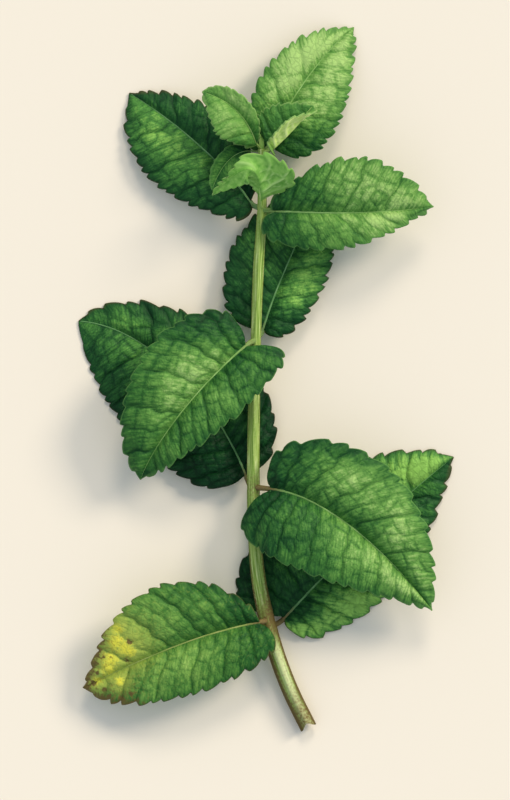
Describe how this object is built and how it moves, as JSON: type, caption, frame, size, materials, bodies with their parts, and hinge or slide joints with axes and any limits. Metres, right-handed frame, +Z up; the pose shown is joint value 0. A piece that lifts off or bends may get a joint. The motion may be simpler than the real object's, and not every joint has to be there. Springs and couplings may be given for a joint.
{
  "type": "mint sprig",
  "caption": "Cut sprig of mint lying flat: a slender square stem with pairs of toothed, quilted oval leaves, one ageing yellow, and a small leafy growing tip.",
  "frame": {"origin": "on the surface that the sprig lies on, under the middle of its bounding box", "axes": "+Y from the cut end of the stem to the growing tip, +Z up from the surface, +X to the right seen from above"},
  "size_m": [0.0938, 0.1768, 0.0221],
  "materials": {
    "stem_skin": "satin green stem skin, pale on the lit side, olive on the other, browned at the nodes and the cut end",
    "ageing_leaf": "satin mid-green leaf turning yellow with brown specks towards its tip",
    "old_leaf": "satin dark green leaf with a quilted net of sunken veins",
    "grown_leaf": "satin mid-green leaf with a quilted net of sunken veins and a light midrib",
    "young_leaf": "satin light green young leaf, finely veined"
  },
  "bodies": {
    "root": {"stem": "stem_skin", "leaf_1_left": "ageing_leaf", "leaf_1_right": "old_leaf", "leaf_2_right": "grown_leaf", "leaf_2_left": "old_leaf", "leaf_3_left": "grown_leaf", "leaf_3_right": "old_leaf", "leaf_4_right": "grown_leaf", "leaf_4_left": "old_leaf", "leaf_5_back": "grown_leaf", "leaf_5_left": "grown_leaf", "leaf_5_front": "young_leaf", "leaf_6_left": "young_leaf", "leaf_6_right": "young_leaf", "tip_bud": "young_leaf"}
  },
  "joints": []
}
